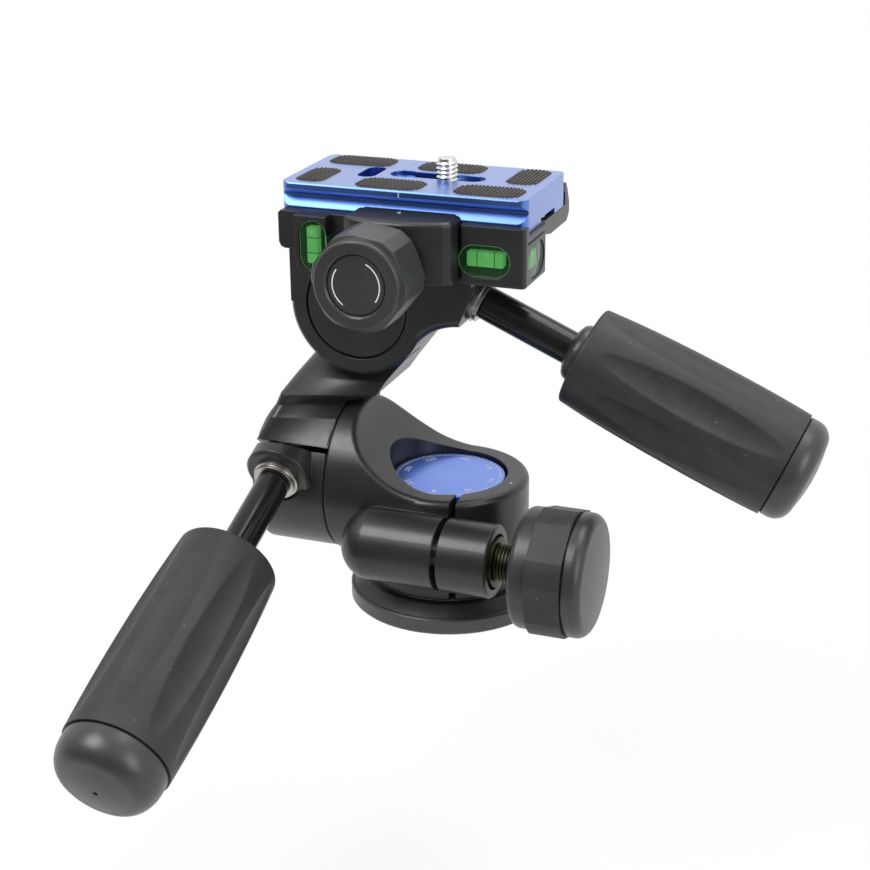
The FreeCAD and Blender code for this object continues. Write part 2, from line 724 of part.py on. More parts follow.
    cotterBore = cyl(cotterR + 0.05, sideFoot + sideDir * -7.0, sideFoot + sideDir * 3.4)
    bush = tube(sideBushR, sideAxleR + runGap, centre + Y * (cRingFront + 1.4), centre + Y * cRingBack)
    export("side_bush", bush.cut(cotterBore))
    cotter = cyl(cotterR, sideFoot + sideDir * -6.5, sideFoot + sideDir * 3.2)
    cotter = cotter.cut(cyl(sideAxleR + threadGap, centre + Y * -20, centre + Y * 20))
    cotter = cotter.cut(cyl(studR + threadGap, sideFoot + sideDir * -10, sideFoot + sideDir * 12))
    export("side_cotter", cotter)
    sleeve = tube(6.5, 4.4, sideFoot + sideDir * 3.4, sideFoot + sideDir * lugEnd)
    export("side_clamp_sleeve", sleeve)
    makeVials()


def makeVials():
    """Three spirit levels: a clear block and the tube of green fluid inside it."""
    specs = [
        ("left", vec(-32.7, -21.6, 112.8), 14.9, 8.3, Z, Y, 11.6, 5.6, 2.4),
        ("front", vec(17.0, -17.1, 111.6), 15.4, 9.3, X, Y, 11.8, 5.6, 2.4),
        ("end", vec(deckRight - 0.4, -7.0, 110.7), 14.5, 9.9, Y, X * -1, 11.0, 3.6, 1.5),
    ]
    for name, centre, length, width, along, inward, tubeLength, depth, tubeR in specs:
        block = obround(length, width, depth, centre, along, inward)
        middle = centre + inward * (depth / 2)
        fluid = cyl(tubeR, middle - along * (tubeLength / 2), middle + along * (tubeLength / 2))
        export("vial_" + name + "_block", block.cut(fluid))
        export("vial_" + name + "_fluid", fluid)


def makeJaw():
    outline = [
        vec(-22.0, jawPlateFront, 0), vec(-22.0, -24.2, 0), vec(-19.5, -25.6, 0), vec(9.2, jawPlateFront, 0),
        vec(9.2, -22.6, 0), vec(7.2, -24.0, 0),
    ]
    front = Part.Arc(outline[2], vec(-7.0, -27.4, 0), outline[5]).toShape()
    rest = Part.makePolygon([outline[5], outline[4], outline[3], outline[0], outline[1], outline[2]])
    plan = Part.Face(Part.Wire([front] + rest.Edges))
    plan.translate(Z * (blockBottom + 1.0))
    body = plan.extrude(Z * (jawTop - blockBottom - 1.0))
    hook = prism(
        [vec(-20.0, -16.0, 119.2), vec(-20.0, jawPlateFront, 119.2), vec(-20.0, -14.1, 121.95),
         vec(-20.0, -12.95, jawTop), vec(-20.0, -16.0, jawTop)],
        X * 27.2,
    )
    body = fuse([body, hook])
    body = body.removeSplitter()
    rims = []
    for edge in body.Edges:
        span = edge.BoundBox
        if span.ZLength < 1e-6 and span.ZMin > jawTop - 0.1 and span.YMin < -21.0:
            rims.append(edge)
    body = body.makeFillet(1.3, rims)
    knob = vec(jawKnobX, 0, jawKnobZ)
    body = body.cut(cyl(3.4, knob + Y * -40, knob))
    body = body.cut(cyl(8.0, knob + Y * -40, knob + Y * -26.0))
    for x in guidePinXs:
        body = body.cut(cyl(guidePinR, vec(x, -22.0, guidePinZ), vec(x, 0, guidePinZ)))
    export("moving_jaw", body.removeSplitter())
    pins = []
    for x in guidePinXs:
        pins.append(cyl(guidePinR, vec(x, -22.0, guidePinZ), vec(x, -6.6, guidePinZ)))
    export("jaw_guide_pins", Part.Compound(pins))


def makeJawKnob():
    knob = vec(jawKnobX, 0, jawKnobZ)
    out = Y * -1
    screw = lathe(
        [(0, 6.8), (2.6, 6.8), (3.0, 7.2), (3.0, 26.4), (7.4, 26.4), (7.4, 27.8), (3.0, 27.8),
         (3.0, 38.0), (0, 38.0)],
        knob, out,
    )
    export("jaw_screw", screw)
    grip = lathe(
        [(3.0, 27.9), (9.5, 27.9), (9.5, 29.5), (13.2, 29.5), (15.0, 30.6), (15.0, 42.0),
         (13.6, 43.6), (12.6, 44.0), (12.6, 45.0), rounded((12.6, 45.0), (12.6, 46.0), (11.4, 46.0)),
         (9.2, 46.0), (8.6, 45.4), (8.6, 44.8), (0, 44.8), (0, 38.0), (3.0, 38.0)],
        knob, out,
    )
    # Six broad flats with a narrow flat on each corner between them
    for i in range(12):
        a = math.radians(9 + 30 * i)
        side = vec(math.sin(a), 0, math.cos(a))
        across = out.cross(side)
        p = knob + out * 25 + side * (jawKnobFlatR if i % 2 == 0 else jawKnobCornerR)
        cutter = prism(
            [p - across * 12, p + across * 12, p + across * 12 + side * 6, p - across * 12 + side * 6],
            out * 19.0,
        )
        grip = grip.cut(cutter)
    export("jaw_knob_grip", grip)
    disc = lathe([(0, 44.8), (8.4, 44.8), (8.4, 45.1), (8.2, 45.3), (0, 45.3)], knob, out)
    export("jaw_knob_disc", disc)


def plateBlank():
    y0 = plateY - plateHalf
    y1 = plateY + plateHalf
    x0 = plateX - plateLength / 2
    profile = [
        (y0 + 0.6, plateBottom), (y0, plateBottom + 0.6), (y0, 122.0), (y0 + dovetailNeck, 124.6),
        (y0 + dovetailNeck, 125.0), (y0, 126.9), (y0, plateTop - 0.4), (y0 + 0.4, plateTop),
        (y1 - 0.4, plateTop), (y1, plateTop - 0.4), (y1, 126.9), (y1 - dovetailNeck, 125.0),
        (y1 - dovetailNeck, 124.6), (y1, 122.0), (y1, plateBottom + 0.6), (y1 - 0.6, plateBottom),
    ]
    bar = prism([vec(x0, y, z) for y, z in profile], X * plateLength)
    plan = roundedOutline(
        [(x0, y0), (x0 + plateLength, y0), (x0 + plateLength, y1), (x0, y1)], [3.0] * 4, plateBottom - 1
    )
    return bar.common(Part.Face(plan).extrude(Z * 20))


def padShape(spec, low, high, shrink):
    x, y, length, width, along = spec
    centre = vec(plateX + x, plateY + y, low)
    if along == "x":
        return roundedPad(centre, length - shrink, width - shrink, high - low)
    return roundedPad(centre, width - shrink, length - shrink, high - low)


def roundedPad(centre, sizeX, sizeY, height):
    r = min(sizeX, sizeY) * 0.36
    x = sizeX / 2
    y = sizeY / 2
    corners = [(centre.x - x, centre.y - y), (centre.x + x, centre.y - y),
               (centre.x + x, centre.y + y), (centre.x - x, centre.y + y)]
    wire = roundedOutline(corners, [r] * 4, centre.z)
    return Part.Face(wire).extrude(Z * height)


def makePlate():
    plate = plateBlank()
    for spec in padSpecs:
        plate = plate.cut(padShape(spec, plateTop - padDepth, plateTop + 1, 0))
    # Screw slot, its wide lower part, and the stepped slot beside it
    slotX = plateX + 4.3
    slotY = plateY + slotOffsetY
    plate = plate.cut(obround(27.8, 6.9, 20, vec(slotX, slotY, plateBottom - 1), X, Z))
    plate = plate.cut(cyl(4.1, vec(plateX - 6.6, slotY, plateTop - 1.6),
                          vec(plateX - 6.6, slotY, plateTop + 1)))
    plate = plate.cut(box(plateX - 13.2, plateX + 21.8, slotY - 6.5, slotY + 6.5, 118, 123.6))
    plate = plate.cut(box(plateX - 40, plateX + 40, slotY - 6.5, slotY + 6.5, 118, plateBottom + 1.7))
    plate = plate.cut(obround(13.0, 5.6, 20, vec(plateX - 16.5, plateY + 0.6, plateTop - 4.0), Y, Z))
    plate = plate.cut(obround(10.0, 3.2, 20, vec(plateX - 16.5, plateY + 0.6, plateBottom - 1), Y, Z))
    stops = []
    for x in (-stopScrewX, stopScrewX):
        p = vec(plateX + x, slotY, plateBottom)
        plate = plate.cut(cyl(1.5, p, p + Z * 7.0))
        screw = lathe([(0, 0.2), (2.5, 0.2), (2.8, 0.5), (2.8, 1.7), (1.5, 1.7), (1.5, 6.5), (0, 6.5)], p, Z)
        stops.append(screw.cut(hexKey(2.0, p, Z, 1.1)))
    export("quick_release_plate", plate.removeSplitter())
    export("plate_screws", Part.Compound(stops))
    pads = []
    for spec in padSpecs:
        pads.append(padShape(spec, plateTop - padDepth, plateTop + padStand, 0.1))
    export("plate_pads", Part.Compound(pads))

    screwX = plateX + 6.6
    slider = box(screwX - 6.0, screwX + 6.0, slotY - 6.4, slotY + 6.4, 122.3, 123.5)
    slider = slider.cut(cyl(2.75, vec(screwX, slotY, 120), vec(screwX, slotY, 125)))
    export("screw_slider", slider)
    p = vec(screwX, slotY, 0)
    screw = lathe(
        [(0, 119.5), (5.6, 119.5), (6.0, 119.9), (6.0, 122.2), (2.7, 122.2),
         (2.7, plateTop - 0.2), (cameraThreadR, plateTop + 0.2), (cameraThreadR, plateTop + 5.0),
         (2.5, plateTop + 5.7), (0, plateTop + 5.7)],
        p, Z,
    )
    screw = screw.cut(box(screwX - 7, screwX + 7, slotY - 0.7, slotY + 0.7, 119, 120.8))
    export("camera_screw", screw)


def main():
    makeBase()
    makePanHousing()
    makePanKnob()
    makeTiltArm()
    makeHandle("tilt_handle", tiltFoot, tiltDir, tiltBossEnd, 30.5, tiltGripLength)
    makePlatform()
    makeHandle("side_handle", sideFoot, sideDir, lugEnd, 38.5, sideGripLength)
    makeJaw()
    makeJawKnob()
    makePlate()


main()
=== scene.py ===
import json
from math import cos, pi, radians, sin, sqrt, tau

import bmesh
import bpy
from mathutils import Matrix, Vector


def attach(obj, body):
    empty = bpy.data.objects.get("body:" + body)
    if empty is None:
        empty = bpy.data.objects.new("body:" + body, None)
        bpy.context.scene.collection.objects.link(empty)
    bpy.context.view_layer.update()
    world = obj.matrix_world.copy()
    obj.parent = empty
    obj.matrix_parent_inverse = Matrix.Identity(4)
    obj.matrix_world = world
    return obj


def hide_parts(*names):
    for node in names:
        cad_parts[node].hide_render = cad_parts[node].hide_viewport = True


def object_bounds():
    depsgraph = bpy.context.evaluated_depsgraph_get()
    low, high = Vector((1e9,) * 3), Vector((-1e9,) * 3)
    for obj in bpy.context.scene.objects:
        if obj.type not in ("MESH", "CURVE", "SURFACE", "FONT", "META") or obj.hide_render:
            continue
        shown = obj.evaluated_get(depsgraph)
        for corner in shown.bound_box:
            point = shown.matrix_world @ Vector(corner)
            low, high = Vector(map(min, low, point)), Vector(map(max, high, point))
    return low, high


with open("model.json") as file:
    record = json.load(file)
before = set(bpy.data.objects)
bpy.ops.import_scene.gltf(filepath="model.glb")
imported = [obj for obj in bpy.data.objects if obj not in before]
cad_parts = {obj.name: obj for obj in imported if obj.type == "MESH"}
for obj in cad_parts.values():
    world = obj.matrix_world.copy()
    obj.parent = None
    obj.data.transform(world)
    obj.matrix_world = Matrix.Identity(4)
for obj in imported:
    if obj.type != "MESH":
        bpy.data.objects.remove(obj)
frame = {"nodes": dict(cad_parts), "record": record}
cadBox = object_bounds()
nodes = frame["nodes"]
mm = 0.001
scene = bpy.context.scene
print("frame loaded:", len(nodes), "nodes")


# Colour and second are mixed in soft patches, grain is the fine bump, edge rounds corners in the light
finishes = {
    "powderCoat": dict(colour=(0.017, 0.017, 0.018), second=(0.022, 0.022, 0.023), metal=0.0, rough=0.33,
                       roughSpread=0.08, patch=90, grain=5200, bump=0.12, depth=0.00004, edge=0.0005),
    "flangeCoat": dict(colour=(0.050, 0.050, 0.051), second=(0.060, 0.060, 0.061), metal=0.0, rough=0.36,
                       roughSpread=0.08, patch=90, grain=5200, bump=0.12, depth=0.00004, edge=0.0005),
    "blueAnodised": dict(colour=(0.085, 0.20, 0.62), second=(0.10, 0.23, 0.68), metal=1.0, rough=0.31,
                         roughSpread=0.05, patch=60, grain=6500, bump=0.08, depth=0.00003, edge=0.00035),
    "blueDial": dict(colour=(0.085, 0.205, 0.78), second=(0.10, 0.235, 0.82), metal=0.55, rough=0.30,
                     roughSpread=0.05, patch=60, grain=6500, bump=0.05, depth=0.00002, edge=0.0002),
    "glossBlack": dict(colour=(0.010, 0.010, 0.011), second=(0.013, 0.013, 0.014), metal=0.0, rough=0.17,
                       roughSpread=0.04, patch=140, grain=900, bump=0.03, depth=0.00004, edge=0.0003),
    "softRubber": dict(colour=(0.025, 0.025, 0.026), second=(0.031, 0.031, 0.032), metal=0.0, rough=0.50,
                       roughSpread=0.10, patch=160, grain=3600, bump=0.30, depth=0.00006, edge=0.0002),
    "satinPlastic": dict(colour=(0.029, 0.029, 0.030), second=(0.036, 0.036, 0.037), metal=0.0, rough=0.36,
                         roughSpread=0.08, patch=80, grain=4200, bump=0.10, depth=0.00004, edge=0.0005),
    "capPlastic": dict(colour=(0.033, 0.033, 0.035), second=(0.041, 0.041, 0.043), metal=0.0, rough=0.33,
                       roughSpread=0.08, patch=80, grain=4200, bump=0.10, depth=0.00004, edge=0.0003),
    "padRubber": dict(colour=(0.040, 0.036, 0.033), second=(0.052, 0.047, 0.043), metal=0.0, rough=0.72,
                      roughSpread=0.10, patch=260, grain=5200, bump=0.25, depth=0.00005, edge=0.0001),
    "nickel": dict(colour=(0.70, 0.69, 0.67), second=(0.78, 0.77, 0.75), metal=1.0, rough=0.24,
                   roughSpread=0.12, patch=300, grain=3000, bump=0.06, depth=0.00003, edge=0.0002),
    # A darker copy of the nickel for the handle washers and the clamp sleeve: painted shade, as they sit in
    # shadow
    "nickelPaintedShade": dict(colour=(0.40, 0.38, 0.35), second=(0.50, 0.48, 0.45), metal=1.0, rough=0.30,
                       roughSpread=0.12, patch=300, grain=3000, bump=0.06, depth=0.00003, edge=0.0002),
    "oliveBrass": dict(colour=(0.060, 0.057, 0.038), second=(0.090, 0.085, 0.055), metal=1.0, rough=0.42,
                       roughSpread=0.12, patch=260, grain=2600, bump=0.06, depth=0.00003, edge=0.0001),
    "brass": dict(colour=(0.46, 0.38, 0.19), second=(0.56, 0.46, 0.24), metal=1.0, rough=0.30,
                  roughSpread=0.12, patch=260, grain=2600, bump=0.06, depth=0.00003, edge=0.0002),
    "bearingPlastic": dict(colour=(0.55, 0.55, 0.50), second=(0.62, 0.62, 0.57), metal=0.0, rough=0.55,
                           roughSpread=0.08, patch=120, grain=2600, bump=0.05, depth=0.00003, edge=0.0002),
    "spiritGreenPaintedGlow": dict(colour=(0.14, 0.60, 0.15), second=(0.17, 0.68, 0.18), metal=0.0, rough=0.16,
                        roughSpread=0.04, patch=180, grain=900, bump=0.02, depth=0.00002, edge=0.0002),
    "vialBlack": dict(colour=(0.006, 0.007, 0.006), second=(0.012, 0.013, 0.012), metal=0.0, rough=0.40,
                      roughSpread=0.05, patch=200, grain=2000, bump=0.03, depth=0.00002, edge=0.0001),
    "bubbleGreenPaintedGlow": dict(colour=(0.34, 0.86, 0.36), second=(0.44, 0.92, 0.46), metal=0.0, rough=0.10,
                        roughSpread=0.04, patch=400, grain=900, bump=0.02, depth=0.00002, edge=0.0001),
    "whiteInk": dict(colour=(0.80, 0.81, 0.82), second=(0.70, 0.71, 0.73), metal=0.0, rough=0.50,
                     roughSpread=0.08, patch=900, grain=4200, bump=0.05, depth=0.00002, edge=0.00005),
}
# Values that only some finishes set, under the names of the shader's sockets
finishExtras = {
    "glossBlack": {"Specular IOR Level": 0.3},
    "softRubber": {"Specular IOR Level": 0.34},
    "blueAnodised": {"Coat Weight": 1.0, "Coat Roughness": 0.32},
    "blueDial": {"Coat Weight": 0.6, "Coat Roughness": 0.2},
    # Painted glow on the spirit fluid: it emits green light of its own to brighten it and flatten its
    # shading
    "spiritGreenPaintedGlow": {"Emission Color": (0.13, 0.55, 0.13, 1), "Emission Strength": 0.46},
    # Painted glow and painted pale tone on the bubble, standing in for the light caught in it
    "bubbleGreenPaintedGlow": {"Emission Color": (0.13, 0.55, 0.13, 1), "Emission Strength": 0.36},
}
noiseLook = dict(patchSpan=(0.35, 0.65), patchDetail=3, wearScale=4, wearDetail=4, grainDetail=2,
                 edgeSamples=4)


def addNode(tree, kind, place, **values):
    node = tree.nodes.new(kind)
    node.location = place
    for key, value in values.items():
        if hasattr(node, key):
            setattr(node, key, value)
        else:
            node.inputs[key].default_value = value
    return node


def noiseAt(tree, coords, scale, detail, y):
    noise = addNode(tree, "ShaderNodeTexNoise", (-900, y), Scale=scale, Detail=detail)
    tree.links.new(coords.outputs["Object"], noise.inputs["Vector"])
    return noise.outputs["Fac"]


def colourMix(tree, factor, first, second, y):
    mix = addNode(tree, "ShaderNodeMix", (-480, y), data_type="RGBA")
    mix.inputs[6].default_value = (*first, 1)  # sockets 6 and 7 are the two colours
    mix.inputs[7].default_value = (*second, 1)
    tree.links.new(factor, mix.inputs[0])
    return mix


def ramp(tree, value, source, target, place, kind="LINEAR"):
    node = addNode(tree, "ShaderNodeMapRange", place, interpolation_type=kind)
    for socket, limit in zip(("From Min", "From Max", "To Min", "To Max"), (*source, *target)):
        node.inputs[socket].default_value = limit
    tree.links.new(value, node.inputs["Value"])
    return node.outputs["Result"]


def shaderOf(mat):
    return mat.node_tree.nodes["Principled BSDF"]


def makeFinish(name, look):
    n = noiseLook
    mat = bpy.data.materials.new(name)
    mat.use_nodes = True
    tree = mat.node_tree
    shader = shaderOf(mat)
    coords = addNode(tree, "ShaderNodeTexCoord", (-1100, 0))
    patches = noiseAt(tree, coords, look["patch"], n["patchDetail"], 300)
    spread = ramp(tree, patches, n["patchSpan"], (0, 1), (-700, 300))
    mix = colourMix(tree, spread, look["colour"], look["second"], 300)
    tree.links.new(mix.outputs[2], shader.inputs["Base Color"])
    wear = noiseAt(tree, coords, look["patch"] * n["wearScale"], n["wearDetail"], 0)
    half = look["roughSpread"] / 2
    rough = ramp(tree, wear, (0, 1), (look["rough"] - half, look["rough"] + half), (-700, 0))
    tree.links.new(rough, shader.inputs["Roughness"])
    grain = noiseAt(tree, coords, look["grain"], n["grainDetail"], -300)
    edge = addNode(tree, "ShaderNodeBevel", (-700, -480), samples=n["edgeSamples"], Radius=look["edge"])
    bump = addNode(tree, "ShaderNodeBump", (-480, -300), Strength=look["bump"], Distance=look["depth"])
    tree.links.new(grain, bump.inputs["Height"])
    tree.links.new(edge.outputs["Normal"], bump.inputs["Normal"])
    tree.links.new(bump.outputs["Normal"], shader.inputs["Normal"])
    shader.inputs["Metallic"].default_value = look["metal"]
    return mat


mats = {name: makeFinish(name, look) for name, look in finishes.items()}
for name, extras in finishExtras.items():
    for socket, value in extras.items():
        shaderOf(mats[name]).inputs[socket].default_value = value

dust = dict(on="softRubber", scale=230, reach=0.05, share=0.25, colour=(0.55, 0.54, 0.52))


def addDust(mat, d):
    tree = mat.node_tree
    base = shaderOf(mat).inputs["Base Color"].links[0].from_socket
    coords = addNode(tree, "ShaderNodeTexCoord", (-1100, 700))
    cells = addNode(tree, "ShaderNodeTexVoronoi", (-900, 700), Scale=d["scale"])
    tree.links.new(coords.outputs["Object"], cells.inputs["Vector"])
    near = addNode(tree, "ShaderNodeMath", (-700, 700), operation="LESS_THAN")
    near.inputs[1].default_value = d["reach"]
    tree.links.new(cells.outputs["Distance"], near.inputs[0])
    faint = addNode(tree, "ShaderNodeMath", (-560, 700), operation="MULTIPLY")
    faint.inputs[1].default_value = d["share"]
    tree.links.new(near.outputs[0], faint.inputs[0])
    dusty = colourMix(tree, faint.outputs[0], (0, 0, 0), d["colour"], 700)
    tree.links.new(base, dusty.inputs[6])
    tree.links.new(dusty.outputs[2], shaderOf(mat).inputs["Base Color"])


addDust(mats[dust["on"]], dust)

# Low is the alpha seen straight on, high at a grazing angle
clearPlastics = {
    "clearVial": dict(colour=(0.03, 0.12, 0.04), second=(0.04, 0.15, 0.05), rough=0.06, low=0.22, high=0.85,
                      ior=1.45),
    # A paler, more opaque copy of the vial plastic for the end window: painted reflection of the bright
    # surroundings on its face
    "paleVialPaintedReflection": dict(colour=(0.22, 0.27, 0.23), second=(0.26, 0.31, 0.27), rough=0.08, low=0.45, high=0.85,
                     ior=1.45),
}
# Pale opaque rim on the clear block's rounded edge: a painted highlight where light catches that edge
vialRimPaintedHighlight = dict(colour=(0.20, 0.36, 0.21), second=(0.26, 0.44, 0.27), rough=0.2)


def makeClearPlastic(name, look):
    mat = makeFinish(name, dict(finishes["bubbleGreenPaintedGlow"], **look))
    tree = mat.node_tree
    facing = addNode(tree, "ShaderNodeFresnel", (-700, 600), IOR=look["ior"])
    solid = ramp(tree, facing.outputs["Fac"], (0, 1), (look["low"], look["high"]), (-480, 600))
    tree.links.new(solid, shaderOf(mat).inputs["Alpha"])
    return mat


for name, look in clearPlastics.items():
    mats[name] = makeClearPlastic(name, look)
mats["vialEdgePaintedHighlight"] = makeFinish("vialEdgePaintedHighlight", dict(finishes["spiritGreenPaintedGlow"], **vialRimPaintedHighlight))
print("finishes made:", len(mats))


# Helpers for the meshes
meshSet = dict(sameSpot=1e-7, cornerSteps=8, rimSteps=2, topShare=0.98, uprightZ=0.1)


def newPiece(name, bm, body, matName, smoothAngle=32):
    bmesh.ops.remove_doubles(bm, verts=bm.verts, dist=meshSet["sameSpot"])
    bmesh.ops.recalc_face_normals(bm, faces=bm.faces)
    for face in bm.faces:
        face.smooth = True
    for edge in bm.edges:
        edge.smooth = len(edge.link_faces) != 2 or edge.calc_face_angle(0) < radians(smoothAngle)
    mesh = bpy.data.meshes.new(name)
    bm.to_mesh(mesh)
    bm.free()
    obj = bpy.data.objects.new(name, mesh)
    scene.collection.objects.link(obj)
    mesh.materials.append(mats[matName])
    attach(obj, body)
    return obj


def newStandIn(name, bm, body, matName, node, smoothAngle=32):
    obj = newPiece(name, bm, body, matName, smoothAngle)
    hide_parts(node)
    return obj


def takeMesh(bm, mesh):
    bm.from_mesh(mesh)
    bpy.data.meshes.remove(mesh)


def takeDraft(bm, draft):
    mesh = bpy.data.meshes.new("draft")
    draft.to_mesh(mesh)
    draft.free()
    takeMesh(bm, mesh)


def moveAll(bm, x, y, z):
    bmesh.ops.translate(bm, verts=bm.verts, vec=(x * mm, y * mm, z * mm))


def spinProfile(bm, points, steps, alongX=False):
    # Points are radius and height in millimetres, turned round Z or X
    verts = [bm.verts.new((h * mm, r * mm, 0) if alongX else (r * mm, 0, h * mm)) for r, h in points]
    edges = [bm.edges.new(pair) for pair in zip(verts, verts[1:])]
    bmesh.ops.spin(bm, geom=verts + edges, cent=(0, 0, 0), axis=(1, 0, 0) if alongX else (0, 0, 1),
                   dvec=(0, 0, 0), angle=tau, steps=steps, use_merge=True)
    bmesh.ops.remove_doubles(bm, verts=bm.verts, dist=meshSet["sameSpot"])


def sweepLoop(bm, points, angle, steps, start=0.0, rise=0.0):
    # A closed outline swept part of the way round Z, or up a helix, with both ends closed
    verts = [bm.verts.new((r * mm, 0, h * mm)) for r, h in points]
    edges = [bm.edges.new(pair) for pair in zip(verts, verts[1:] + verts[:1])]
    bmesh.ops.rotate(bm, verts=verts, cent=(0, 0, 0), matrix=Matrix.Rotation(start, 3, "Z"))
    bmesh.ops.spin(bm, geom=verts + edges, cent=(0, 0, 0), axis=(0, 0, 1), dvec=(0, 0, rise * mm),
                   angle=angle, steps=steps)
    openEdges = [e for e in bm.edges if len(e.link_faces) == 1]
    bmesh.ops.holes_fill(bm, edges=openEdges, sides=len(points))


def addBlock(bm, size, centre):
    made = bmesh.ops.create_cube(bm, size=1.0)
    bmesh.ops.scale(bm, verts=made["verts"], vec=size)
    bmesh.ops.translate(bm, verts=made["verts"], vec=centre)
    return made["verts"]


def roundEdges(bm, edges, radius, steps, material=-1):
    bmesh.ops.bevel(bm, geom=edges, offset=radius, affect="EDGES", segments=steps, profile=0.5,
                    material=material)


def roundedBlock(bm, size, corner, rim, rimMaterial=-1):
    addBlock(bm, size, (0, 0, 0))
    half = size[2] / 2
    upright = [e for e in bm.edges if abs(e.verts[0].co.z - e.verts[1].co.z) > half]
    roundEdges(bm, upright, corner, meshSet["cornerSteps"])
    # The top's outline lies high and has an upright face beside it
    top = [e for e in bm.edges if min(v.co.z for v in e.verts) > half * meshSet["topShare"]
           and any(abs(f.normal.z) < meshSet["uprightZ"] for f in e.link_faces)]
    roundEdges(bm, top, rim, meshSet["rimSteps"], rimMaterial)


def turnTo(bm, origin, direction, roll=0.0):
    turn = Vector(direction).to_track_quat("Z", "Y").to_matrix().to_4x4()
    bmesh.ops.transform(bm, matrix=Matrix.Translation(origin) @ turn @ Matrix.Rotation(roll, 4, "Z"),
                        verts=bm.verts)


# Finishes of the pieces that come from CAD: by material slot, then some by name
bySlot = {
    "black_casting": "powderCoat", "blue_anodised": "blueAnodised", "black_rod": "glossBlack",
    "soft_rubber": "softRubber", "black_plastic": "satinPlastic", "pad_rubber": "padRubber",
    "steel": "nickel", "brass": "brass", "bearing_plastic": "bearingPlastic",
    "clear_green": "clearVial", "green_spirit": "spiritGreenPaintedGlow",
}
byNode = {
    "pan_dial": "blueDial", "base_flange": "flangeCoat", "tilt_handle_washer": "nickelPaintedShade",
    "side_handle_washer": "nickelPaintedShade", "side_clamp_sleeve": "nickelPaintedShade",
}
for part in frame["record"]["subparts"]:
    name = part["node"]
    finish = byNode.get(name, bySlot[part["material_slot"]])
    nodes[name].data.materials.clear()
    nodes[name].data.materials.append(mats[finish])
print("cast and turned pieces finished")


# Camera screw: a head, a core and a thread that climbs round it
cameraScrew = dict(x=-2.4, y=6.3, core=2.62, outer=3.175, pitch=1.27, low=123.7, high=133.95, tip=134.4,
                   tipDrop=0.1, tipIn=0.15, head=6.0, headLow=119.5, headHigh=122.2, chamfer=0.4,
                   toothHalf=0.46, rootIn=0.05, crestIn=0.03, crestSide=0.14, steps=40)


def makeCameraScrew(s):
    bm = bmesh.new()
    core, low, steps = s["core"], s["low"], s["steps"]
    spinProfile(bm, [(0, s["headLow"]), (s["head"] - s["chamfer"], s["headLow"]),
                     (s["head"], s["headLow"] + s["chamfer"]), (s["head"], s["headHigh"]),
                     (core, s["headHigh"]), (core, s["high"] - s["tipDrop"]),
                     (core - s["tipIn"], s["tip"]), (0, s["tip"])], steps)
    half = s["pitch"] * s["toothHalf"]
    root, crest = core - s["rootIn"], s["outer"] - s["crestIn"]
    tooth = [(root, low), (crest, low + half * (1 - s["crestSide"])), (s["outer"], low + half),
             (crest, low + half * (1 + s["crestSide"])), (root, low + 2 * half)]
    count = int(((s["high"] - low) / s["pitch"] - 1) * steps)
    sweepLoop(bm, tooth, tau * count / steps, count, rise=s["pitch"] / steps)
    moveAll(bm, s["x"], s["y"], 0)
    newStandIn("camera_screw_threaded", bm, "camera_screw", "nickel", "camera_screw", 40)


makeCameraScrew(cameraScrew)


# Grooved neck between the barrel and the pan knob: seat, neck and collar are start, end and radius
clampNeck = dict(y=-28.5, z=26.3, bore=4.4, seat=(22.65, 25.4, 7.4), neck=(25.4, 30.4, 5.6),
                 collar=(30.4, 32.75, 7.0), pitch=1.0, groove=0.55, foot=0.05, crest=(0.4, 0.6), steps=64)


def makeClampNeck(s):
    bm = bmesh.new()
    seatStart, seatEnd, seatR = s["seat"]
    start, end, radius = s["neck"]
    collarStart, collarEnd, collarR = s["collar"]
    pitch, root = s["pitch"], radius - s["groove"]
    points = [(s["bore"], seatStart), (seatR, seatStart), (seatR, seatEnd)]
    for i in range(int((end - start) / pitch)):
        x = start + i * pitch
        points += [(root, x + s["foot"]), (radius, x + pitch * s["crest"][0]),
                   (radius, x + pitch * s["crest"][1]), (root, x + pitch - s["foot"])]
    points += [(collarR, collarStart), (collarR, collarEnd), (s["bore"], collarEnd), points[0]]
    spinProfile(bm, points, s["steps"], alongX=True)
    moveAll(bm, 0, s["y"], s["z"])
    newStandIn("pan_clamp_neck", bm, "pan_washers", "oliveBrass", "pan_clamp_washers", 30)


makeClampNeck(clampNeck)


# Ribbed rubber pads: places are x and y from the plate's middle, then width and depth
pads = dict(plateX=-9.0, plateY=5.0, top=128.7, thick=0.8, inset=0.3, cornerShare=0.36, rim=0.08,
            stand=0.36, ribFoot=0.1, ribPitch=1.14, ribWidth=0.64, ribEnd=0.12, ribRound=0.14,
            ribSteps=2, shortest=0.8,
            places=[(-29.8, -7.7, 9.4, 16.6), (-5.5, -12.0, 20.2, 11.6), (23.8, -11.3, 20.2, 11.6),
                    (-24.0, 12.6, 20.4, 11.0), (4.3, 12.4, 20.4, 11.0), (29.0, 8.4, 9.8, 18.6)])


def padReach(x, width, depth, corner):
    side = width / 2 - abs(x)
    if side >= corner:
        return depth / 2
    return depth / 2 - corner + sqrt(max(corner ** 2 - (corner - side) ** 2, 0))


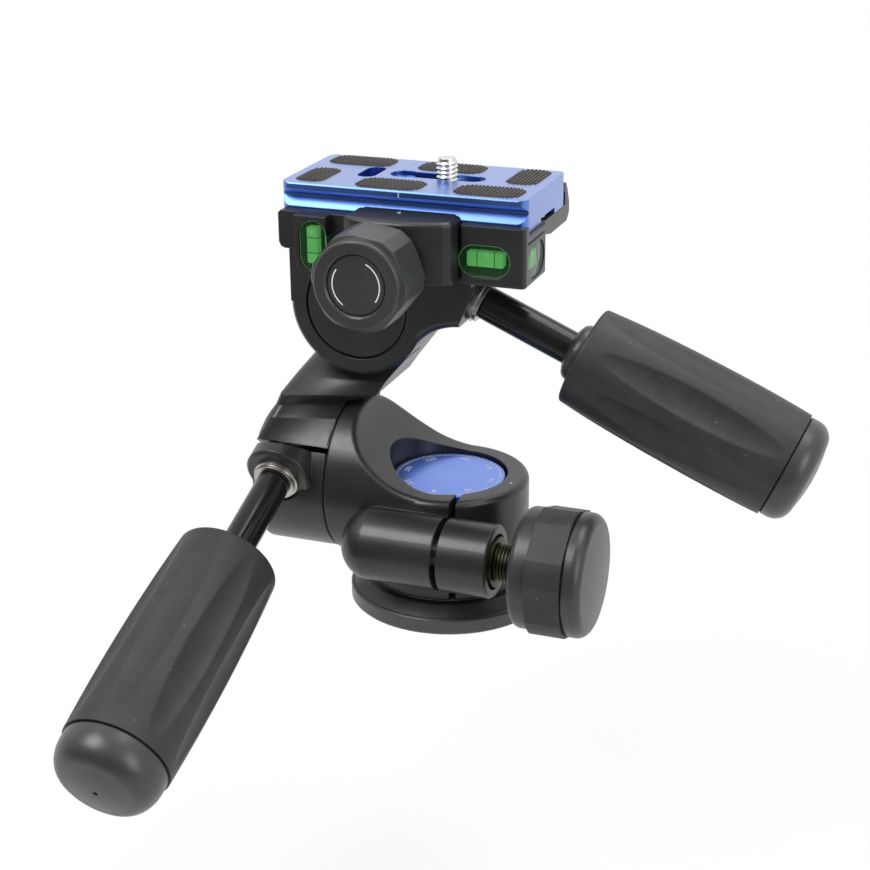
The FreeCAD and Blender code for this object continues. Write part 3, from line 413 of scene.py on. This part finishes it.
def makePads(s):
    bm = bmesh.new()
    low, high = s["top"] - s["ribFoot"], s["top"] + s["stand"]
    middle = (low + high) / 2 * mm
    for dx, dy, width, depth in s["places"]:
        width -= s["inset"]
        depth -= s["inset"]
        corner = min(width, depth) * s["cornerShare"]
        pad = bmesh.new()
        roundedBlock(pad, (width * mm, depth * mm, s["thick"] * mm), corner * mm, s["rim"] * mm)
        moveAll(pad, 0, 0, s["top"] - s["thick"] / 2)
        count = int(width / s["ribPitch"])
        for i in range(count):
            x = (i - (count - 1) / 2) * s["ribPitch"]
            reach = padReach(abs(x) + s["ribWidth"] / 2, width, depth, corner) - s["ribEnd"]
            if reach < s["shortest"]:
                continue
            verts = addBlock(pad, (s["ribWidth"] * mm, 2 * reach * mm, (high - low) * mm),
                             (x * mm, 0, middle))
            crest = {e for v in verts for e in v.link_edges if min(u.co.z for u in e.verts) > middle}
            roundEdges(pad, list(crest), s["ribRound"] * mm, s["ribSteps"])
        moveAll(pad, s["plateX"] + dx, s["plateY"] + dy, 0)
        takeDraft(bm, pad)
    newStandIn("plate_pads_ribbed", bm, "plate", "padRubber", "plate_pads", 40)


makePads(pads)
print("camera screw and pads made")


# Handles: foot of the axis in millimetres from the base's middle, its direction, and places along it
grips = {
    "tilt_handle": dict(foot=(-45.0, -5.882, 49.527), aim=(-0.0288056, -0.9166076, -0.3987491), seat=23.04,
                        start=32.5, end=102.2, tip=113.9, phase=38.5, startR=15.1),
    "side_handle": dict(foot=(-18.325, 0.0, 107.352), aim=(0.9170601, 0.0, -0.3987491), seat=32.54,
                        start=32.1, end=96.9, tip=105.7, phase=13.5, startR=14.75),
}
# Flutes are arcs of cutR; their floor lies at floorR where they are widest and rises to both ends
gripShape = dict(middleR=16.35, endR=15.75, boreR=10.62, flutes=8, floorR=14.65, cutR=10.0, widest=0.5,
                 riseStart=0.65, riseEnd=1.3, around=320, along=120, round=1.0, roundSteps=5)


def gripFoot(s):
    return Vector(s["foot"]) * mm + Vector(s["aim"]) * (s["seat"] * mm)


def gripRadius(g, startR, share, angle):
    barrel = startR + (g["endR"] - startR) * share
    bulge = g["middleR"] - (startR + g["endR"]) / 2
    outer = barrel + bulge * 4 * share * (1 - share)
    widest = g["widest"]
    side = share / widest - 1 if share < widest else (share - widest) / (1 - widest)
    rise = g["riseStart"] if share < widest else g["riseEnd"]
    centreR = g["floorR"] + rise * side * side + g["cutR"]
    step = tau / g["flutes"]
    off = abs((angle + step / 2) % step - step / 2)
    reach = g["cutR"] ** 2 - (centreR * sin(off)) ** 2
    if reach <= 0:
        return outer
    return min(outer, centreR * cos(off) - sqrt(reach))


def ringOf(bm, radiusAt, height, steps):
    ring = []
    for i in range(steps):
        a = tau * i / steps
        r = radiusAt(a)
        ring.append(bm.verts.new((r * cos(a) * mm, r * sin(a) * mm, height * mm)))
    return ring


def makeGrip(name, s, g):
    bm = bmesh.new()
    around, rounding, startR = g["around"], g["round"], s["startR"]
    rings = []
    for i in range(g["roundSteps"]):
        a = pi / 2 * i / g["roundSteps"]
        drop = rounding * (1 - sin(a))
        rings.append(ringOf(bm, lambda t: gripRadius(g, startR, 0, t) - drop,
                            s["start"] + rounding * (1 - cos(a)), around))
    for i in range(g["along"] + 1):
        share = i / g["along"]
        height = s["start"] + rounding + (s["end"] - s["start"] - rounding) * share
        rings.append(ringOf(bm, lambda t: gripRadius(g, startR, share, t), height, around))
    for height in (s["end"], s["start"]):
        rings.append(ringOf(bm, lambda t: g["boreR"], height, around))
    for low, high in zip(rings, rings[1:] + rings[:1]):
        for i in range(around):
            j = (i + 1) % around
            bm.faces.new((low[i], low[j], high[j], high[i]))
    turnTo(bm, gripFoot(s), s["aim"], radians(s["phase"]))
    newStandIn(name + "_fluted_grip", bm, name, "softRubber", name + "_grip", 50)


# End caps: a straight band, a rounded side and a shallow dome with a dimple in it
capShape = dict(r=15.25, gap=0.06, edge=0.45, straight=2.4, sideSteps=12, face=10.0, dome=1.1, faceSteps=8,
                dimple=0.75, dimpleIn=0.1, dimpleDeep=0.8, steps=96)


def makeCap(name, s, c):
    bm = bmesh.new()
    low, tip, face = s["end"] + c["gap"], s["tip"], c["face"]
    points = [(0, low), (c["r"] - c["edge"], low), (c["r"], low + c["edge"]), (c["r"], low + c["straight"])]
    rise = tip - c["dome"] - low - c["straight"]
    for i in range(1, c["sideSteps"] + 1):
        a = pi / 2 * i / c["sideSteps"]
        points.append((face + (c["r"] - face) * cos(a), low + c["straight"] + rise * sin(a)))
    for i in range(1, c["faceSteps"] + 1):
        r = face + (c["dimple"] - face) * i / c["faceSteps"]
        points.append((r, tip - c["dome"] * (r / face) ** 2))
    points += [(c["dimple"] - c["dimpleIn"], tip - c["dimpleDeep"]), (0, tip - c["dimpleDeep"])]
    spinProfile(bm, points, c["steps"])
    turnTo(bm, gripFoot(s), s["aim"])
    newStandIn(name + "_domed_cap", bm, name, "capPlastic", name + "_cap", 40)


# Cores: a collar that flares out to the grip and a sleeve inside it
coreShape = dict(rodR=5.02, neckR=6.5, chamfer=0.3, collarR=8.7, collar=3.7, brim=0.8, curveSteps=8,
                 faceIn=0.25, sleeveR=10.55, endIn=0.2, steps=72)


def makeCore(name, s, k):
    bm = bmesh.new()
    low, face, end = s["start"] - k["collar"], s["start"] + k["faceIn"], s["end"] - k["endIn"]
    neck, brim = low + k["chamfer"], face - k["brim"]
    points = [(k["rodR"], low), (k["neckR"] - k["chamfer"], low), (k["neckR"], neck)]
    for i in range(1, k["curveSteps"] + 1):
        a = pi / 2 * i / k["curveSteps"]
        points.append((k["neckR"] + (k["collarR"] - k["neckR"]) * sin(a), brim - (brim - neck) * cos(a)))
    points += [(k["collarR"], face), (k["sleeveR"], face), (k["sleeveR"], end), (k["rodR"], end),
               (k["rodR"], low)]
    spinProfile(bm, points, k["steps"])
    turnTo(bm, gripFoot(s), s["aim"])
    newStandIn(name + "_collar_core", bm, name, "satinPlastic", name + "_core", 40)


for name, s in grips.items():
    makeGrip(name, s, gripShape)
    makeCap(name, s, capShape)
    makeCore(name, s, coreShape)
print("grips made")


# Spirit levels: at is the middle of the window; size is the block's length, width and depth; fluid, shift,
# lines and bubble are sizes and places along and across it; sink is how far the fluid lies behind the window
vials = {
    "left": dict(at=(-32.7, -21.6, 112.8), size=(14.9, 8.3, 5.6), along=(0, 0, 1), inward=(0, 1, 0),
                 fluid=(10.6, 3.4), shift=(0.0, 0.45), sink=0.5, lines=(-2.2, 2.2), bubble=(3.7, 0.0),
                 clear="clearVial"),
    "front": dict(at=(17.0, -17.1, 111.6), size=(15.4, 9.3, 5.6), along=(1, 0, 0), inward=(0, 1, 0),
                  fluid=(10.7, 4.3), shift=(-0.25, 0.1), sink=1.2, lines=(-2.3, 2.8), bubble=(0.7, 1.2),
                  clear="clearVial"),
    "end": dict(at=(28.6, -7.0, 110.7), size=(14.5, 9.9, 3.6), along=(0, 1, 0), inward=(-1, 0, 0),
                fluid=(8.4, 5.0), shift=(-2.0, 0.2), sink=0.5, lines=(-0.8, 2.4), bubble=(0.8, 1.4),
                clear="paleVialPaintedReflection"),
}
vialShape = dict(cornerShare=0.497, rim=0.3, fluidDepth=2.4, fluidCorner=0.5, fluidRim=0.25, lineWidth=0.22,
                 lineStand=0.04, bubbleR=0.85, bubbleFlat=0.4, bubbleAround=20, bubbleAlong=12)


def makeVial(name, s, f):
    length, width, depth = s["size"]
    along, inward = Vector(s["along"]), Vector(s["inward"])
    turn = Matrix((along, (-inward).cross(along), -inward)).transposed().to_4x4()
    place = Matrix.Translation((Vector(s["at"]) + inward * (depth / 2)) * mm) @ turn
    face = depth / 2 - s["sink"]
    # Clear block with a pale rim painted on its rounded edge as a highlight
    bm = bmesh.new()
    roundedBlock(bm, (length * mm, width * mm, depth * mm), width * f["cornerShare"] * mm, f["rim"] * mm,
                 rimMaterial=1)
    bmesh.ops.transform(bm, matrix=place, verts=bm.verts)
    block = newStandIn("vial_" + name + "_clear", bm, "platform", s["clear"], "vial_" + name + "_block")
    block.data.materials.append(mats["vialEdgePaintedHighlight"])
    # Flat-faced tube of green spirit, given a painted glow that brightens it and flattens its shading
    length, width = s["fluid"]
    depth = f["fluidDepth"]
    x, y = s["shift"]
    bm = bmesh.new()
    roundedBlock(bm, (length * mm, width * mm, depth * mm), f["fluidCorner"] * mm, f["fluidRim"] * mm)
    moveAll(bm, x, y, face - depth / 2)
    bmesh.ops.transform(bm, matrix=place, verts=bm.verts)
    newStandIn("vial_" + name + "_spirit", bm, "platform", "spiritGreenPaintedGlow", "vial_" + name + "_fluid")
    # Two black lines round the tube
    bm = bmesh.new()
    stand = f["lineStand"]
    for t in s["lines"]:
        addBlock(bm, (f["lineWidth"] * mm, (width + stand) * mm, (depth + stand) * mm),
                 ((x + t) * mm, y * mm, (face - depth / 2) * mm))
    bmesh.ops.transform(bm, matrix=place, verts=bm.verts)
    newPiece("vial_" + name + "_lines", bm, "platform", "vialBlack")
    # Bubble against the tube's front, painted pale and glowing as a painted highlight
    bm = bmesh.new()
    bmesh.ops.create_uvsphere(bm, u_segments=f["bubbleAround"], v_segments=f["bubbleAlong"], radius=1.0)
    bmesh.ops.scale(bm, verts=bm.verts, vec=[f["bubbleR"] * k * mm for k in (1, 1, f["bubbleFlat"])])
    moveAll(bm, x + s["bubble"][0], y + s["bubble"][1], face)
    bmesh.ops.transform(bm, matrix=place, verts=bm.verts)
    newPiece("vial_" + name + "_bubble", bm, "platform", "bubbleGreenPaintedGlow", 80)


for name, s in vials.items():
    makeVial(name, s, vialShape)
print("spirit levels made")


# Pan dial: a ring, ticks every few degrees and plain numbers
dial = dict(top=38.8, ink=0.03, sunk=0.02, ringR=15.55, ringWidth=0.16, ringSteps=96, tickIn=15.75,
            tickOut=16.5, tickWidth=0.16, step=5, numberR=13.2, numberSize=2.5, numberInk=0.015,
            numberStep=45, firstAngle=-90, curveSteps=3)


def textMesh(words, size, thickness, curveSteps):
    curve = bpy.data.curves.new("words", "FONT")
    curve.body = words
    curve.size = size
    curve.align_x = "CENTER"
    curve.align_y = "CENTER"
    curve.extrude = thickness
    curve.resolution_u = curveSteps
    holder = bpy.data.objects.new("words", curve)
    scene.collection.objects.link(holder)
    bpy.context.view_layer.update()
    mesh = bpy.data.meshes.new_from_object(holder.evaluated_get(bpy.context.evaluated_depsgraph_get()))
    bpy.data.objects.remove(holder)
    bpy.data.curves.remove(curve)
    return mesh


def bandProfile(r, width, low, high):
    inner, outer = r - width / 2, r + width / 2
    return [(inner, low), (outer, low), (outer, high), (inner, high)]


def makeDialPrint(s):
    bm = bmesh.new()
    low, high = s["top"] - s["sunk"], s["top"] + s["ink"]
    ring = bandProfile(s["ringR"], s["ringWidth"], low, high)
    spinProfile(bm, ring + ring[:1], s["ringSteps"])
    length = s["tickOut"] - s["tickIn"]
    for angle in range(0, 360, s["step"]):
        verts = addBlock(bm, (length * mm, s["tickWidth"] * mm, (high - low) * mm),
                         ((s["tickIn"] + length / 2) * mm, 0, (low + high) / 2 * mm))
        bmesh.ops.rotate(bm, verts=verts, cent=(0, 0, 0), matrix=Matrix.Rotation(radians(angle), 3, "Z"))
    newPiece("dial_ticks", bm, "base", "whiteInk")
    bm = bmesh.new()
    for value in range(0, 360, s["numberStep"]):
        mesh = textMesh(str(value), s["numberSize"] * mm, s["numberInk"] * mm, s["curveSteps"])
        a = radians(s["firstAngle"] + value)
        mesh.transform(Matrix.Rotation(a, 4, "Z") @ Matrix.Translation((s["numberR"] * mm, 0, s["top"] * mm))
                       @ Matrix.Rotation(-pi / 2, 4, "Z"))
        takeMesh(bm, mesh)
    newPiece("dial_numbers", bm, "base", "whiteInk")


makeDialPrint(dial)

indexDot = dict(x=20.5, y=-2.4, z=39.8, r=0.42, ink=0.03, sunk=0.05, steps=20)


def makeIndexDot(s):
    bm = bmesh.new()
    spinProfile(bm, [(0, -s["sunk"]), (s["r"], -s["sunk"]), (s["r"], s["ink"]), (0, s["ink"])], s["steps"])
    moveAll(bm, s["x"], s["y"], s["z"])
    newPiece("pan_index_dot", bm, "pan_housing", "whiteInk")


makeIndexDot(indexDot)
print("dial printed")


# Jaw knob: two plain arcs on its disc, spans and step in degrees
knobArcs = dict(x=-9.7, y=-45.3, z=110.0, r=6.9, width=0.34, ink=0.03, sunk=0.03, step=5,
                spans=[(-36, 64), (144, 236)])


def makeKnobArcs(s):
    bm = bmesh.new()
    for start, end in s["spans"]:
        arc = bmesh.new()
        sweepLoop(arc, bandProfile(s["r"], s["width"], -s["sunk"], s["ink"]), radians(end - start),
                  int((end - start) / s["step"]), start=radians(start))
        takeDraft(bm, arc)
    # Local x becomes +X and local y becomes +Z, so the arcs face the front
    bmesh.ops.transform(bm, matrix=Matrix.Rotation(pi / 2, 4, "X"), verts=bm.verts)
    moveAll(bm, s["x"], s["y"], s["z"])
    newPiece("jaw_knob_arcs", bm, "jaw_knob", "whiteInk")


makeKnobArcs(knobArcs)

# Plain index marks: body, middle and size in millimetres
plainMarks = {
    "plate_centre_tick": ("plate", (-9.5, -14.0, 127.55), (0.32, 0.08, 1.25)),
    "jaw_index_bar": ("jaw", (-8.4, -16.0, 123.2), (0.26, 1.3, 0.08)),
    "jaw_index_foot": ("jaw", (-8.4, -16.9, 123.2), (1.3, 0.26, 0.08)),
}
for name, (body, centre, size) in plainMarks.items():
    bm = bmesh.new()
    addBlock(bm, [v * mm for v in size], [v * mm for v in centre])
    newPiece(name, bm, body, "whiteInk")
print("marks made")


# Floor and world in metres: white behind, above and beside the object and dim in front of it
stage = dict(size=12.0, gap=0.066, floorColour=(0.86, 0.86, 0.86), floorRough=0.9, whiteShare=0.9,
             nearR=0.16, farR=0.42, shineShare=0.92, nearY=-0.18, farY=-0.46, dim=0.16, worldLevel=0.50,
             worldDim=0.17, worldTurn=(0.10, 0.80, 0.59), worldSpan=(-0.55, 0.30))


def join(tree, operation, first, second, place):
    node = addNode(tree, "ShaderNodeMath", place, operation=operation)
    for i, value in enumerate((first, second)):
        if isinstance(value, float):
            node.inputs[i].default_value = value
        else:
            tree.links.new(value, node.inputs[i])
    return node.outputs[0]


def seenDirectly(tree, path):
    rays = [path.outputs[kind] for kind in ("Is Camera Ray", "Is Transmission Ray")]
    return join(tree, "MAXIMUM", *rays, (-900, 300))


def makeFloor(s):
    bm = bmesh.new()
    bmesh.ops.create_grid(bm, x_segments=1, y_segments=1, size=s["size"] / 2)
    bmesh.ops.translate(bm, verts=bm.verts, vec=(0, 0, cadBox[0].z - s["gap"]))
    mesh = bpy.data.meshes.new("floor")
    bm.to_mesh(mesh)
    bm.free()
    floor = bpy.data.objects.new("floor", mesh)
    scene.collection.objects.link(floor)
    mat = bpy.data.materials.new("paleFloor")
    mat.use_nodes = True
    tree = mat.node_tree
    shader = shaderOf(mat)
    shader.inputs["Base Color"].default_value = (*s["floorColour"], 1)
    shader.inputs["Roughness"].default_value = s["floorRough"]
    path = addNode(tree, "ShaderNodeLightPath", (-1200, 200))
    coords = addNode(tree, "ShaderNodeTexCoord", (-1200, -300))
    split = addNode(tree, "ShaderNodeSeparateXYZ", (-1000, -300))
    tree.links.new(coords.outputs["Object"], split.inputs[0])
    fade = ramp(tree, split.outputs["Y"], (s["farY"], s["nearY"]), (s["dim"], 1), (-800, -300),
                "SMOOTHSTEP")
    seen = seenDirectly(tree, path)
    reach = addNode(tree, "ShaderNodeVectorMath", (-1000, -500), operation="LENGTH")
    tree.links.new(coords.outputs["Object"], reach.inputs[0])
    whiter = ramp(tree, reach.outputs["Value"], (s["nearR"], s["farR"]), (s["whiteShare"], 1),
                  (-900, -500), "SMOOTHSTEP")
    seenShare = join(tree, "MULTIPLY", seen, whiter, (-700, 300))
    shineShare = join(tree, "MULTIPLY", path.outputs["Is Glossy Ray"], s["shineShare"], (-700, 100))
    share = join(tree, "MAXIMUM", seenShare, shineShare, (-500, 200))
    level = join(tree, "MAXIMUM", seen, fade, (-500, -300))
    white = addNode(tree, "ShaderNodeEmission", (0, -400))
    white.inputs["Color"].default_value = (1, 1, 1, 1)
    tree.links.new(level, white.inputs["Strength"])
    mix = addNode(tree, "ShaderNodeMixShader", (250, 0))
    tree.links.new(share, mix.inputs[0])
    tree.links.new(shader.outputs[0], mix.inputs[1])
    tree.links.new(white.outputs[0], mix.inputs[2])
    tree.links.new(mix.outputs[0], tree.nodes["Material Output"].inputs["Surface"])
    mesh.materials.append(mat)


makeFloor(stage)


def makeWorld(s):
    world = bpy.data.worlds.new("studio")
    scene.world = world
    world.use_nodes = True
    tree = world.node_tree
    background = tree.nodes["Background"]
    background.inputs["Color"].default_value = (1, 1, 1, 1)
    path = addNode(tree, "ShaderNodeLightPath", (-1200, 200))
    coords = addNode(tree, "ShaderNodeTexCoord", (-1200, -200))
    facing = addNode(tree, "ShaderNodeVectorMath", (-1000, -200), operation="DOT_PRODUCT")
    facing.inputs[1].default_value = s["worldTurn"]
    tree.links.new(coords.outputs["Generated"], facing.inputs[0])
    shine = ramp(tree, facing.outputs["Value"], s["worldSpan"], (s["worldDim"], 1), (-800, -200),
                 "SMOOTHSTEP")
    soft = join(tree, "MULTIPLY", shine, s["worldLevel"], (-600, -300))
    shineOnly = join(tree, "MULTIPLY", shine, path.outputs["Is Glossy Ray"], (-600, -100))
    unseen = join(tree, "MAXIMUM", soft, shineOnly, (-400, -200))
    level = join(tree, "MAXIMUM", unseen, seenDirectly(tree, path), (-200, 0))
    tree.links.new(level, background.inputs["Strength"])


makeWorld(stage)

# Lamps: place, target and size in metres, power in watts
lamps = {
    "keyLamp": dict(place=(-0.45, -0.55, 0.95), target=(0, 0, 0.07), size=(0.55, 0.55), watts=8.5),
    "topLamp": dict(place=(0.25, 0.25, 1.0), target=(0, 0, 0.07), size=(0.8, 0.5), watts=5.0),
    "sideLamp": dict(place=(0.85, -0.45, 0.35), target=(0, 0, 0.06), size=(0.4, 0.6), watts=3.0),
}
for name, s in lamps.items():
    light = bpy.data.lights.new(name, "AREA")
    light.shape = "RECTANGLE"
    light.size, light.size_y = s["size"]
    light.energy = s["watts"]
    lamp = bpy.data.objects.new(name, light)
    scene.collection.objects.link(lamp)
    lamp.location = s["place"]
    lamp.rotation_mode = "QUATERNION"
    lamp.rotation_quaternion = (Vector(s["target"]) - Vector(s["place"])).to_track_quat("-Z", "Y")

cameraSet = dict(place=(0.173728, -0.471548, 0.248577), lens=74.48, sensor=36, near=0.01, far=50,
                 right=(0.93653391, 0.35048283, -0.00812489), up=(-0.12080667, 0.34439342, 0.93102036),
                 ahead=(-0.32910481, 0.87095061, -0.36487678))


def makeCamera(s):
    data = bpy.data.cameras.new("studioCamera")
    data.lens = s["lens"]
    data.sensor_width = s["sensor"]
    data.clip_start = s["near"]
    data.clip_end = s["far"]
    camera = bpy.data.objects.new("studioCamera", data)
    scene.collection.objects.link(camera)
    turn = Matrix((s["right"], s["up"], [-v for v in s["ahead"]])).transposed()
    camera.matrix_world = Matrix.Translation(s["place"]) @ turn.to_4x4()
    scene.camera = camera


makeCamera(cameraSet)
scene.view_settings.view_transform = "Standard"
print("stage set")
